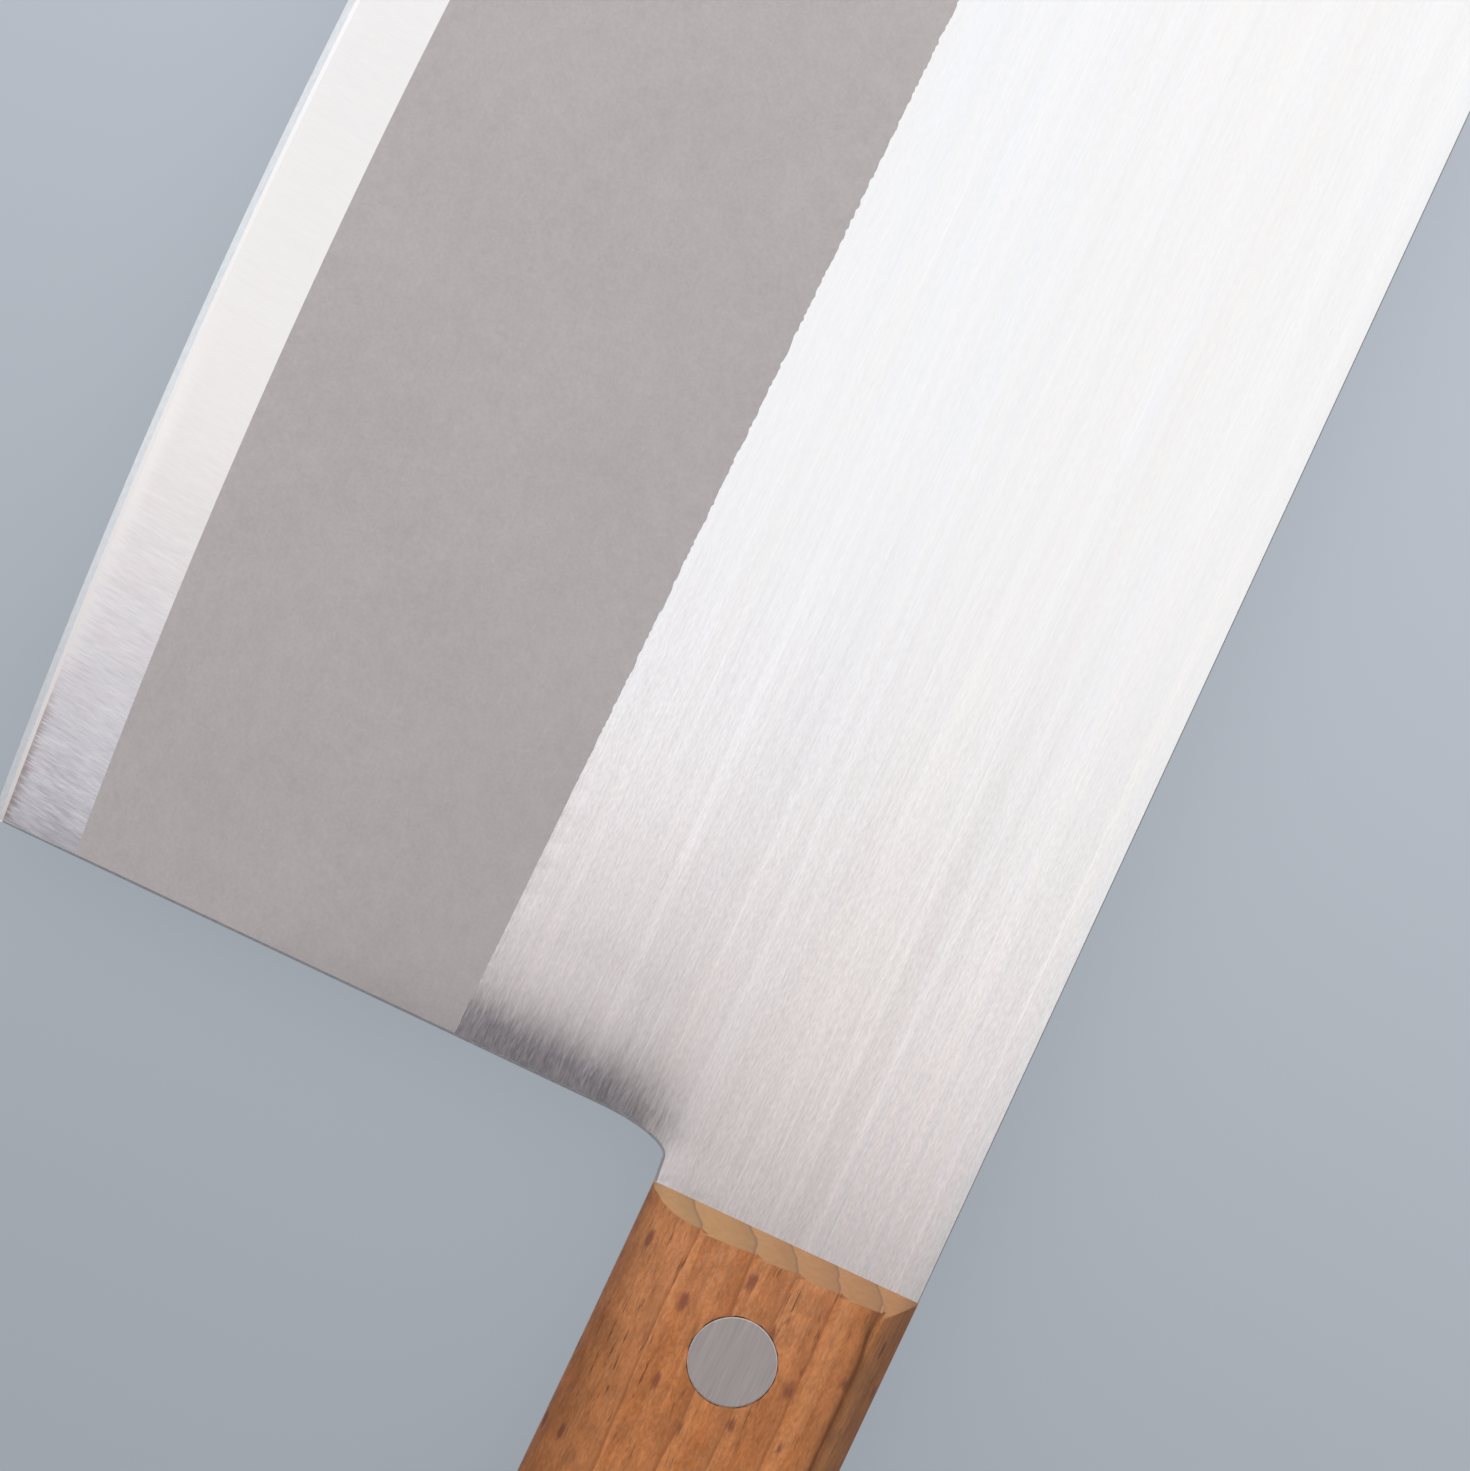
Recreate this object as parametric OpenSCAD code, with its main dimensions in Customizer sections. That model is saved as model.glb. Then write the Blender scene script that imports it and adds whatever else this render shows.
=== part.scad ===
// Chinese cleaver: one steel plate that is both blade and full tang, two beech scales,
// and three two-part rivets that clamp the scales to the tang.
// It lies on its side: +X runs from handle to tip, +Y from spine to cutting edge, +Z up.

/* [Blade] */
// Length of the blade from heel to tip
blade_len = 220; // [190:1:235]
// Greatest height of the blade, spine to cutting edge
blade_h = 112.8; // [98:0.1:122]
// Thickness of the steel plate
plate_t = 2.5; // [1.8:0.1:3.5]
// Radius of the curved cutting edge
edge_r = 873; // [600:1:1600]
// Distance of the greatest height ahead of the handle
belly_x = 72.3; // [50:0.1:100]
// Corner radius where the spine meets the front of the blade
spine_corner_r = 2.5; // [1:0.5:8]
// Corner radius where the cutting edge meets the front of the blade
toe_corner_r = 1.5; // [0.5:0.5:5]
// Width of the broken corners along the spine
spine_break = 0.2; // [0.1:0.05:0.4]

/* [Grind] */
// Width of the long taper between the full plate and the bevel
taper_w = 47; // [35:0.5:55]
// Width of the polished bevel along the cutting edge
bevel_w = 9.6; // [6:0.1:13]
// Thickness of the steel where the bevel starts
bevel_t = 1.1; // [0.8:0.05:1.5]
// Width of the fine bevel that forms the cutting edge itself
fine_w = 0.55; // [0.3:0.05:1]
// Thickness of the steel where the fine bevel starts
fine_t = 0.25; // [0.15:0.05:0.4]

/* [Heel and neck] */
// Distance of the heel ahead of the handle
heel_gap = 4.9; // [4:0.1:12]
// Lean of the heel away from the handle, in degrees
heel_lean = 0.4; // [0:0.1:2]
// Length of the straight neck in front of the handle
neck_len = 2.6; // [1:0.1:3.5]
// How much wider the neck grows over its length
neck_flare = 0.25; // [0:0.05:0.5]
// Width of the rounded corner between neck and heel, measured up the heel
neck_round = 8.4; // [4:0.1:15]

/* [Handle] */
// Length of the handle
handle_len = 110; // [95:1:125]
// Width of the handle behind the blade
grip_w = 30.7; // [27:0.1:34]
// How much the heel side of the handle flares out at the butt
butt_flare = 2.3; // [0:0.1:4]
// How far the spine side of the handle drops away at the butt
butt_drop = 0.9; // [0:0.1:3]
// Thickness of each wooden scale
scale_t = 8; // [6.5:0.1:10]
// Length of the slanted end-grain face at the front of each scale
front_slant = 2.2; // [1:0.1:4]
// Width of the rounding along the heel side of each scale
heel_round_w = 4.7; // [3:0.1:6]
// Width of the rounding along the spine side of each scale
spine_round_w = 3; // [2:0.1:5]
// Height of the straight side left between the tang and the roundings
side_flat = 1.5; // [0.5:0.1:3]
// Corner radius of the butt, seen from the side
butt_corner_r = 10; // [6:0.5:12]
// Rounding of the outer edge round the butt
butt_round = 5; // [2:0.5:5]

/* [Rivets] */
// Diameter of the flush rivet heads
head_d = 9.5; // [8:0.1:11]
// Thickness of the rivet heads
head_t = 1.8; // [1.2:0.1:2.5]
// Diameter of the rivet barrel that passes through scales and tang
barrel_d = 5; // [4.5:0.1:6]
// Diameter of the stud that is driven into the barrel
stud_d = 3; // [2.5:0.1:3.5]
// Length of stud that the barrel holds
stud_hold = 10; // [7:0.5:12]
// Distance of the first rivet behind the front of the handle
first_rivet = 13.35; // [11:0.05:18]
// Distance of the last rivet ahead of the butt
last_rivet = 13; // [11:0.5:18]

/* [Clearances] */
// Gap all round each rivet head in its seat
head_gap = 0.02; // [0.01:0.01:0.1]
// Gap all round each barrel in its hole
barrel_gap = 0.05; // [0.02:0.01:0.15]
// Gap all round each stud in its barrel
stud_gap = 0.02; // [0.01:0.01:0.05]
// Gap between the end of the barrel and the head of the stud
barrel_end_gap = 0.4; // [0.2:0.1:1]

/* [Hidden] */

arc_steps = 8;      // segments in each rounded corner of an outline
side_steps = 10;    // segments along the flared side of the handle
edge_facets = 256;  // fineness of the edge arc
round_facets = 64;  // fineness of the rivets
cut_past = 4;       // how far a cut or an outline runs past what it trims

handle_t = plate_t + 2 * scale_t;
tip_x = heel_gap + blade_len;
edge_centre_y = blade_h - edge_r;
heel_x = heel_gap;
neck_w = grip_w + neck_flare;
barrel_bottom = -handle_t / 2 + head_t + barrel_end_gap;
stud_top = -handle_t / 2 + head_t + stud_hold;
middle_rivet = (first_rivet + handle_len - last_rivet) / 2;

// Points on an elliptical arc about [cx, cy]
function arc(cx, cy, rx, ry, from, to) = [
    for (i = [0:arc_steps])
        let (a = from + (to - from) * i / arc_steps)
        [cx + rx * cos(a), cy + ry * sin(a)]
];

// The two sides of the handle, at a distance d behind its front
function spine_side(d) = butt_drop * d / handle_len;
function heel_side(d) = grip_w + butt_flare * pow(d / handle_len, 2);
function mid_line(d) = (spine_side(d) + heel_side(d)) / 2;

// Outline of the handle and the tang, from the spine corner round the butt to the heel corner
function handle_points() =
    let (d = handle_len - butt_corner_r)
    concat(
        [[0, 0]],
        arc(-d, spine_side(d) + butt_corner_r, butt_corner_r, butt_corner_r, 270, 180),
        arc(-d, heel_side(d) - butt_corner_r, butt_corner_r, butt_corner_r, 180, 90),
        [for (i = [side_steps - 1:-1:0]) [-d * i / side_steps, heel_side(d * i / side_steps)]]
    );

// Neck and heel, from the handle out past the cutting edge
function heel_points() =
    let (
        round_y = neck_w + neck_round,
        past_y = blade_h + cut_past
    )
    concat(
        arc(neck_len, round_y, heel_x - neck_len, neck_round, -90, 0),
        [[heel_x + (past_y - round_y) * tan(heel_lean), past_y]]
    );

// Front of the blade, from past the cutting edge back to the spine
function front_points() =
    let (
        toe_x = tip_x - toe_corner_r,
        toe_y = edge_centre_y + sqrt(pow(edge_r - toe_corner_r, 2) - pow(toe_x - belly_x, 2)),
        toe_end = 60
    )
    concat(
        [[toe_x + toe_corner_r * cos(toe_end) - cut_past * sin(toe_end),
          toe_y + toe_corner_r * sin(toe_end) + cut_past * cos(toe_end)]],
        arc(toe_x, toe_y, toe_corner_r, toe_corner_r, toe_end, 0),
        arc(tip_x - spine_corner_r, spine_corner_r, spine_corner_r, spine_corner_r, 0, -90)
    );

// Moves the handle's front spine corner so that the origin is under the middle of the cleaver
module placed() {
    translate([-(tip_x - handle_len) / 2, -blade_h / 2, handle_t / 2])
        children();
}

// The solid turned about the centre of the edge arc that gives the plate its taper and bevels
module grind() {
    slope = (plate_t - bevel_t) / 2 / taper_w;
    inner_r = edge_r - blade_h - cut_past;
    inner_z = bevel_t / 2 + slope * (edge_r - bevel_w - inner_r);
    sweep = 2 * asin((tip_x + handle_len) / edge_r);
    half = [
        [edge_r - fine_w, fine_t / 2],
        [edge_r - bevel_w, bevel_t / 2],
        [inner_r, inner_z],
    ];
    translate([belly_x, edge_centre_y, 0])
        rotate([0, 0, 90 - sweep / 2])
        rotate_extrude(angle = sweep, $fn = edge_facets)
        polygon(concat(
            [[edge_r, 0]],
            half,
            [for (i = [2:-1:0]) [half[i][0], -half[i][1]]]
        ));
}

// Broken corner along one face of the spine, from the neck to the tip
module spine_corner_cut() {
    side = spine_break * sqrt(2);
    translate([neck_len, 0, plate_t / 2])
        rotate([45, 0, 0])
        translate([0, -side / 2, -side / 2])
        cube([tip_x + cut_past, side, side]);
}

// Runs its children at each rivet's place on the middle line of the handle
module at_rivets() {
    for (d = [first_rivet, middle_rivet, handle_len - last_rivet])
        translate([-d, mid_line(d), 0])
            children();
}

module rivet_hole() {
    cylinder(d = barrel_d + 2 * barrel_gap, h = handle_t + cut_past, center = true,
             $fn = round_facets);
}

module blade() {
    color([0.80, 0.79, 0.78])
    difference() {
        intersection() {
            translate([0, 0, -plate_t / 2])
                linear_extrude(plate_t)
                polygon(concat(handle_points(), heel_points(), front_points()));
            grind();
        }
        at_rivets() rivet_hole();
        spine_corner_cut();
        mirror([0, 0, 1]) spine_corner_cut();
    }
}

// Cross-section of a scale with its rounded spine side, seen along the handle
module spine_side_section() {
    rise = scale_t - side_flat;
    far = grip_w + butt_flare + cut_past;
    polygon(concat(
        [[0, 0]],
        arc(spine_round_w, side_flat, spine_round_w, rise, 180, 90),
        [[far, scale_t], [far, 0]]
    ));
}

// Cross-section of a scale with its rounded heel side, measured back from that side
module heel_side_section() {
    rise = scale_t - side_flat;
    far = -grip_w - butt_flare - cut_past;
    polygon(concat(
        [[0, 0]],
        arc(-heel_round_w, side_flat, heel_round_w, rise, 0, 90),
        [[far, scale_t], [far, 0]]
    ));
}

// Side view of a scale: slanted front, rounded butt
module scale_profile() {
    polygon(concat(
        [[0, 0], [-front_slant, scale_t]],
        arc(-handle_len + butt_round, scale_t - butt_round, butt_round, butt_round, 90, 180),
        [[-handle_len, 0]]
    ));
}

// One wooden scale, lying on the tang's face
module scale_body() {
    long = handle_len + 2 * cut_past;
    spine_turn = -atan(butt_drop / handle_len);
    heel_turn = -atan(butt_flare / handle_len);
    intersection() {
        linear_extrude(scale_t) polygon(handle_points());
        translate([0, -cut_past, 0])
            rotate([90, 0, 0])
            mirror([0, 0, 1])
            linear_extrude(grip_w + butt_flare + 2 * cut_past)
            scale_profile();
        rotate([0, 0, spine_turn])
            translate([cut_past - long, 0, 0])
            rotate([90, 0, 90])
            linear_extrude(long)
            spine_side_section();
        translate([0, grip_w, 0])
            rotate([0, 0, heel_turn])
            translate([cut_past - long, 0, 0])
            rotate([90, 0, 90])
            linear_extrude(long)
            heel_side_section();
    }
}

// A scale raised onto the tang and bored for the rivets, with a seat for each head
module bored_scale() {
    difference() {
        translate([0, 0, plate_t / 2]) scale_body();
        at_rivets() {
            rivet_hole();
            translate([0, 0, handle_t / 2 - head_t])
                cylinder(d = head_d + 2 * head_gap, h = head_t + cut_past, $fn = round_facets);
        }
    }
}

module left_scale() {
    color([0.69, 0.46, 0.30]) bored_scale();
}

module right_scale() {
    color([0.67, 0.44, 0.28]) mirror([0, 0, 1]) bored_scale();
}

// Barrel half of a rivet: flush head on the left side, and a bore that takes the stud
module rivet_socket(d) {
    color([0.62, 0.60, 0.58])
    translate([-d, mid_line(d), 0])
    difference() {
        union() {
            translate([0, 0, handle_t / 2 - head_t])
                cylinder(d = head_d, h = head_t, $fn = round_facets);
            translate([0, 0, barrel_bottom])
                cylinder(d = barrel_d, h = handle_t / 2 - head_t / 2 - barrel_bottom,
                         $fn = round_facets);
        }
        translate([0, 0, barrel_bottom - cut_past])
            cylinder(d = stud_d + 2 * stud_gap, h = stud_top + barrel_end_gap - barrel_bottom
                     + cut_past, $fn = round_facets);
    }
}

// Stud half of a rivet: flush head on the right side, and the stud that grips the barrel
module rivet_stud(d) {
    color([0.60, 0.58, 0.56])
    translate([-d, mid_line(d), 0])
    union() {
        translate([0, 0, -handle_t / 2])
            cylinder(d = head_d, h = head_t, $fn = round_facets);
        translate([0, 0, -handle_t / 2 + head_t / 2])
            cylinder(d = stud_d, h = stud_top + handle_t / 2 - head_t / 2, $fn = round_facets);
    }
}

placed() blade();
placed() left_scale();
placed() right_scale();
placed() rivet_socket(first_rivet);  // rivet_socket_front
placed() rivet_socket(middle_rivet);  // rivet_socket_middle
placed() rivet_socket(handle_len - last_rivet);  // rivet_socket_rear
placed() rivet_stud(first_rivet);  // rivet_stud_front
placed() rivet_stud(middle_rivet);  // rivet_stud_middle
placed() rivet_stud(handle_len - last_rivet);  // rivet_stud_rear
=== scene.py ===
# A Chinese cleaver lying on its side: a steel plate that is blade and tang, two beech scales, three rivets.
# The frame gives every place. Blade, scales and rivets are finer meshes that stand where the CAD parts stand.
import math
import bpy
import numpy as np
from functools import reduce
from mathutils import Matrix, Vector, geometry


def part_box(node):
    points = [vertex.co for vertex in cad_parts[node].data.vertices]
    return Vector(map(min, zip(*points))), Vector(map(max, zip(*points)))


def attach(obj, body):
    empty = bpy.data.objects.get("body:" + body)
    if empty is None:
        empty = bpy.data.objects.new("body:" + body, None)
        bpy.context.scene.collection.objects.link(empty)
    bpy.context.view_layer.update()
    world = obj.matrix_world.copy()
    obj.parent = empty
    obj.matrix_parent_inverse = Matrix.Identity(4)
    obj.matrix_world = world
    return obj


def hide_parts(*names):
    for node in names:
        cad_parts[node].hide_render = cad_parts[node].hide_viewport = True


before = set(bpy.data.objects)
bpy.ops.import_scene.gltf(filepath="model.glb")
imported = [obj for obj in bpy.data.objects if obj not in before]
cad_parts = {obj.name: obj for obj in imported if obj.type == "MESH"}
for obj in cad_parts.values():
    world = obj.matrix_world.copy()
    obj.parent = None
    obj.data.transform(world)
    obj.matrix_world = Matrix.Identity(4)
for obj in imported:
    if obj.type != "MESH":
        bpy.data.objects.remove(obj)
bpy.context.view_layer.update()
print("frame loaded with", len(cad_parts), "nodes")

mm = 0.001
bladeLow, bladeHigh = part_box("blade")
scaleLow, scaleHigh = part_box("left_scale")
frontX, spineY, plateZ = scaleHigh.x, bladeLow.y, (bladeLow.z + bladeHigh.z) / 2
crispAngle = 35  # faces that meet at more than this many degrees keep a crisp edge

# Knife measures are in mm: s runs from the front of the handle to the tip, t from the spine to the edge,
# z up from the middle of the plate. This turns them into the frame's metres.
def place(s, t, z):
    return (frontX + s * mm, spineY + t * mm, plateZ + z * mm)


# Small helpers for outlines and meshes

# 0 at low and 1 at high, with soft ends: low may be the greater one
def smooth(low, high, x):
    k = min(max((x - low) / (high - low), 0.0), 1.0)
    return k * k * (3 - 2 * k)


def arc(cx, cy, rx, ry, start, end, steps):
    turns = [math.radians(start + (end - start) * i / steps) for i in range(steps + 1)]
    return [(cx + rx * math.cos(a), cy + ry * math.sin(a)) for a in turns]


# A whole circle of points, without the first one again at its end
def circle(centre, radius, count):
    return arc(*centre, radius, radius, 0, 360 - 360 / count, count - 1)



def stretch(a, b, gap):
    count = max(1, round(math.dist(a, b) / gap))
    return [(a[0] + (b[0] - a[0]) * i / count, a[1] + (b[1] - a[1]) * i / count) for i in range(count)]


# The path moved inwards (to the right of its direction), each point by its own distance
def inset(path, distances):
    moved = []
    for i, (x, y) in enumerate(path):
        ax, ay = path[max(i - 1, 0)]
        bx, by = path[min(i + 1, len(path) - 1)]
        length = math.hypot(bx - ax, by - ay)
        moved.append((x + (by - ay) / length * distances[i], y - (bx - ax) / length * distances[i]))
    return moved


# Distance from each point to a path, and the values that the path carries there
def nearPath(points, path, carried):
    pts, a, b = np.array(points, float), np.array(path[:-1], float), np.array(path[1:], float)
    values, along = np.array(carried, float), b - a
    size = np.maximum((along ** 2).sum(1), 1e-12)
    distance, found = np.zeros(len(pts)), np.zeros((len(pts), values.shape[1]))
    batch = 500
    for at in range(0, len(pts), batch):
        p = pts[at:at + batch, None, :]
        k = np.clip(((p - a) * along).sum(2) / size, 0, 1)
        gap = np.sqrt(((p - a - k[:, :, None] * along) ** 2).sum(2))
        best = gap.argmin(1)
        row = np.arange(len(best))
        share = k[row, best][:, None]
        distance[at:at + batch] = gap[row, best]
        found[at:at + batch] = values[best] * (1 - share) + values[best + 1] * share
    return distance, found


def middle(points):
    return sum((Vector(p) for p in points), Vector((0, 0))) / len(points)


# Triangles that fill an outline, following every line given, without the holes
def fillPlan(outline, lines, points, holes):
    weld, withinHole = 1e-4, 0.98
    verts, edges = [], []
    for line, closed in [(outline, True)] + [(x, False) for x in lines] + [(x, True) for x in holes]:
        first = len(verts)
        verts += [Vector(p) for p in line]
        edges += [(first + i, first + i + 1) for i in range(len(line) - 1)]
        if closed:
            edges.append((len(verts) - 1, first))
    verts += [Vector(p) for p in points]
    made, _, triangles = geometry.delaunay_2d_cdt(verts, edges, [], 1, weld)[:3]
    middles = [middle([made[i] for i in tri]) for tri in triangles]
    rims = [(middle(hole), math.dist(hole[0], hole[len(hole) // 2]) / 2 * withinHole) for hole in holes]
    kept = [list(tri) for tri, m in zip(triangles, middles) if all((m - c).length > r for c, r in rims)]
    used = sorted({i for tri in kept for i in tri})
    order = {old: new for new, old in enumerate(used)}
    return [tuple(made[i]) for i in used], [[order[i] for i in tri] for tri in kept]


# Edges with a face on one side only, in the direction of that face
def rimEdges(faces):
    sides = dict.fromkeys(edge for face in faces for edge in zip(face, face[1:] + face[:1]))
    return [(a, b) for a, b in sides if (b, a) not in sides]


def newObject(name, data):
    made = bpy.data.objects.new(name, data)
    bpy.context.scene.collection.objects.link(made)
    return made


def newPiece(name, verts, faces, materials, materialOf=None, uvs=None):
    mesh = bpy.data.meshes.new(name)
    mesh.from_pydata([place(*v) for v in verts], [], faces)
    for material in materials:
        mesh.materials.append(material)
    if materialOf:
        mesh.polygons.foreach_set("material_index", materialOf)
    if uvs:
        layer = mesh.uv_layers.new(name="brushing")
        layer.data.foreach_set("uv", [x for face in uvs for uv in face for x in uv])
    mesh.polygons.foreach_set("use_smooth", [True] * len(faces))
    mesh.set_sharp_from_angle(angle=math.radians(crispAngle))
    mesh.validate()
    piece = newObject(name, mesh)
    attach(piece, "root")
    print(name, "made with", len(faces), "faces")
    return piece


# Shader helpers

# A colour may come without its alpha
def fillSockets(tree, made, inputs):
    for key, value in inputs.items():
        socket = made.inputs[key]
        if isinstance(value, bpy.types.NodeSocket):
            tree.links.new(value, socket)
        else:
            socket.default_value = (*value, 1)[:4] if socket.type == "RGBA" else value


def addNode(tree, kind, inputs=None, **settings):
    made = tree.nodes.new("ShaderNode" + kind)
    for key, value in settings.items():
        setattr(made, key, value)
    fillSockets(tree, made, inputs or {})
    return made


# A node that goes into the tree of the sockets which feed it
def fedNode(kind, inputs, **settings):
    tree = next(value.id_data for value in inputs.values() if isinstance(value, bpy.types.NodeSocket))
    return addNode(tree, kind, inputs, **settings)


def maths(operation, *values, clamp=False):
    inputs = dict(enumerate(values))
    return fedNode("Math", inputs, operation=operation, use_clamp=clamp).outputs[0]


def times(*values):
    return reduce(lambda a, b: maths("MULTIPLY", a, b), values)


def plus(*values):
    return reduce(lambda a, b: maths("ADD", a, b), values)


def minus(a, b):
    return maths("SUBTRACT", a, b)


# Root of the sum of two squares
def hypotenuse(a, b):
    return maths("SQRT", plus(maths("POWER", a, 2.0), maths("POWER", b, 2.0)))


def vectorMaths(operation, a, b):
    return fedNode("VectorMath", {0: a, 1: b}, operation=operation).outputs[0]


def splitVector(vector):
    return fedNode("SeparateXYZ", {0: vector}).outputs


def joinVector(x, y, z):
    return fedNode("CombineXYZ", {0: x, 1: y, 2: z}).outputs[0]


# toMin at low and before it, toMax at high and past it, with soft ends: low may be the greater one
def between(value, low, high, toMin=0.0, toMax=1.0):
    inputs = {"Value": value, "From Min": low, "From Max": high, "To Min": toMin, "To Max": toMax}
    return fedNode("MapRange", inputs, interpolation_type="SMOOTHSTEP").outputs[0]


# Ramps over one value, each by what the settings hold under its key
def ramps(value, look, *keys):
    return [between(value, *look[key]) for key in keys]


def noise(where, scale, detail=2.0, distortion=0.0):
    inputs = {"Vector": where, "Scale": scale, "Detail": detail, "Distortion": distortion}
    return fedNode("TexNoise", inputs).outputs


def mixColour(share, a, b, blend="MIX"):
    return fedNode("Mix", {0: share, 6: a, 7: b}, data_type="RGBA", blend_type=blend).outputs[2]


def tintBy(share, colour, tint):
    return mixColour(share, colour, tint, "MULTIPLY")


def shade(colour, amount):
    return tintBy(1.0, colour, joinVector(amount, amount, amount))


def newGroup(name, inputs, outputs):
    group = bpy.data.node_groups.new(name, "ShaderNodeTree")
    for label, kind, value in inputs:
        socket = group.interface.new_socket(name=label, in_out="INPUT", socket_type=kind)
        if value is not None:
            socket.default_value = value
    for label, kind in outputs:
        group.interface.new_socket(name=label, in_out="OUTPUT", socket_type=kind)
    return group, group.nodes.new("NodeGroupInput"), group.nodes.new("NodeGroupOutput")


# The node tree of a material or world, emptied
def emptyTree(owner):
    owner.use_nodes = True
    owner.node_tree.nodes.clear()
    return owner.node_tree


def newMaterial(name, fixed):
    material = bpy.data.materials.new(name)
    material.use_nodes = True
    tree = material.node_tree
    shader = tree.nodes["Principled BSDF"]
    fillSockets(tree, shader, fixed)
    return material, tree, shader


# A bump that stands this many mm at most
def addBump(tree, shader, height, most, strength):
    inputs = {"Height": height, "Distance": most * mm, "Strength": strength}
    tree.links.new(addNode(tree, "Bump", inputs).outputs[0], shader.inputs["Normal"])


# Knife measures in a shader: s, t and z in mm, worked out from object coordinates
def measureGroup():
    kinds = [("Place", "NodeSocketVector")] + [(label, "NodeSocketFloat") for label in "stz"]
    group, _, out = newGroup("knife measures", [], kinds)
    coords = addNode(group, "TexCoord").outputs["Object"]
    moved = vectorMaths("SUBTRACT", coords, place(0, 0, 0))
    scaled = addNode(group, "VectorMath", {0: moved, "Scale": 1 / mm}, operation="SCALE").outputs[0]
    group.links.new(scaled, out.inputs["Place"])
    for label, value in zip("stz", splitVector(scaled)):
        group.links.new(value, out.inputs[label])
    return group


# Noise drawn out into streaks along s: Length and Width in mm, values about 0 to 1
def streakGroup():
    defaults = {"Length": 10.0, "Width": 0.2, "Seed": 0.0, "Contrast": 1.6}
    sockets = [("Place", "NodeSocketVector", None)] + [(k, "NodeSocketFloat", v) for k, v in defaults.items()]
    group, given, out = newGroup("streaks", sockets, [("Value", "NodeSocketFloat")])
    length, width, seed = (given.outputs[key] for key in ("Length", "Width", "Seed"))
    along, across = maths("DIVIDE", 1.0, length), maths("DIVIDE", 1.0, width)
    where = vectorMaths("MULTIPLY", given.outputs["Place"], joinVector(along, across, across))
    where = vectorMaths("ADD", where, joinVector(seed, seed, 0.0))
    inputs = {"Vector": where, "Scale": 1.0, "Detail": 2.0, "Roughness": 0.55}
    field = addNode(group, "TexNoise", inputs).outputs[0]
    centred = times(minus(field, 0.5), given.outputs["Contrast"])
    group.links.new(maths("ADD", centred, 0.5, clamp=True), out.inputs["Value"])
    return group


measures = measureGroup()
streaks = streakGroup()
print("shared shader groups made")


# Place, s, t and z of the point that is shaded
def measured(tree):
    return addNode(tree, "Group", node_tree=measures).outputs


# A layer is (length, width, seed), and then its contrast where that isn't the group's own
def streak(where, *layer):
    inputs = zip(("Place", "Length", "Width", "Seed", "Contrast"), (where, *layer))
    return fedNode("Group", dict(inputs), node_tree=streaks).outputs[0]


# Sum of streak layers about 0: each layer is (length, width, seed, strength)
def streakSum(where, layers):
    parts = []
    for *layer, strength in layers:
        parts.append(times(minus(streak(where, *layer), 0.5), strength))
    return plus(*parts)


# The highlight follows the blade's own map of its brushing
def followBrushing(tree, shader):
    tangent = addNode(tree, "Tangent", direction_type="UV_MAP", uv_map="brushing")
    tree.links.new(tangent.outputs[0], shader.inputs["Tangent"])


# Steel finishes. Ramps in the settings are (low, high), then toMin and toMax where these aren't 0 and 1.

brushed = {
    "shader": {"Metallic": 1.0, "Anisotropic": 1.0, "Anisotropic Rotation": 0.25},
    "warm": (0.889, 0.880, 0.878), "cool": (0.878, 0.884, 0.910),
    "hue": (70, 2.2, 61, 2.2), "hueAcross": (22.0, 42.0, -0.25, 0.3),
    "fine": [(0.8, 0.2, 3, 0.21), (4.5, 0.25, 51, 0.10), (45, 0.28, 11, 0.09)],
    "wide": [(90, 0.9, 23, 0.10), (160, 3.4, 37, 0.15)],
    "fineFade": (30.0, 75.0, 1.0, 0.25), "wideFade": (35.0, 85.0, 1.0, 0.28),
    "scratches": (60, 0.3, 41, 1.0), "scratchEdge": (0.64, 0.72), "scratchTone": 0.09,
    "paintedSpineShade": (0.885, 0.917, 0.940), "spineBand": (2.4, 0.5), "spineFade": (10.0, 85.0, 1.0, 0.25),
    "lines": (1.4, 0.2, 7, 2.4), "broad": (130, 1.3, 15, 2.0), "shares": (0.65, 0.35),
    "roughness": (0.1, 0.9, 0.155, 0.215),
}


def brushedSteel():
    b = brushed
    material, tree, shader = newMaterial("brushed steel", b["shader"])
    where, s, t, _ = measured(tree)
    fade, wideFade, spineFade = ramps(s, b, "fineFade", "wideFade", "spineFade")
    fine = times(streakSum(where, b["fine"]), fade)
    wide = times(streakSum(where, b["wide"]), wideFade)
    scratched = between(streak(where, *b["scratches"]), *b["scratchEdge"])
    tone = plus(fine, wide, 1.0, times(scratched, fade, b["scratchTone"]))
    hue = streak(where, *b["hue"])
    hue = maths("ADD", hue, between(t, *b["hueAcross"]), clamp=True)
    colour = shade(mixColour(hue, b["warm"], b["cool"]), tone)
    # Painted shade: a darker, cooler band beside the spine, fainter towards the tip
    beside = times(between(t, *b["spineBand"]), spineFade)
    tree.links.new(tintBy(beside, colour, b["paintedSpineShade"]), shader.inputs["Base Color"])
    worn = [times(streak(where, *b[key]), x) for key, x in zip(("lines", "broad"), b["shares"])]
    tree.links.new(between(plus(*worn), *b["roughness"]), shader.inputs["Roughness"])
    followBrushing(tree, shader)
    return material


blasted = {
    "shader": {"Metallic": 1.0, "Roughness": 0.42}, "colour": (0.553, 0.514, 0.514),
    "grains": [(0.36, 0.20), (0.85, 0.10), (2.2, 0.11), (14.0, 0.10)],  # size and strength
    "bumpSize": 0.36, "bump": (0.01, 0.5),
}


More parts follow.
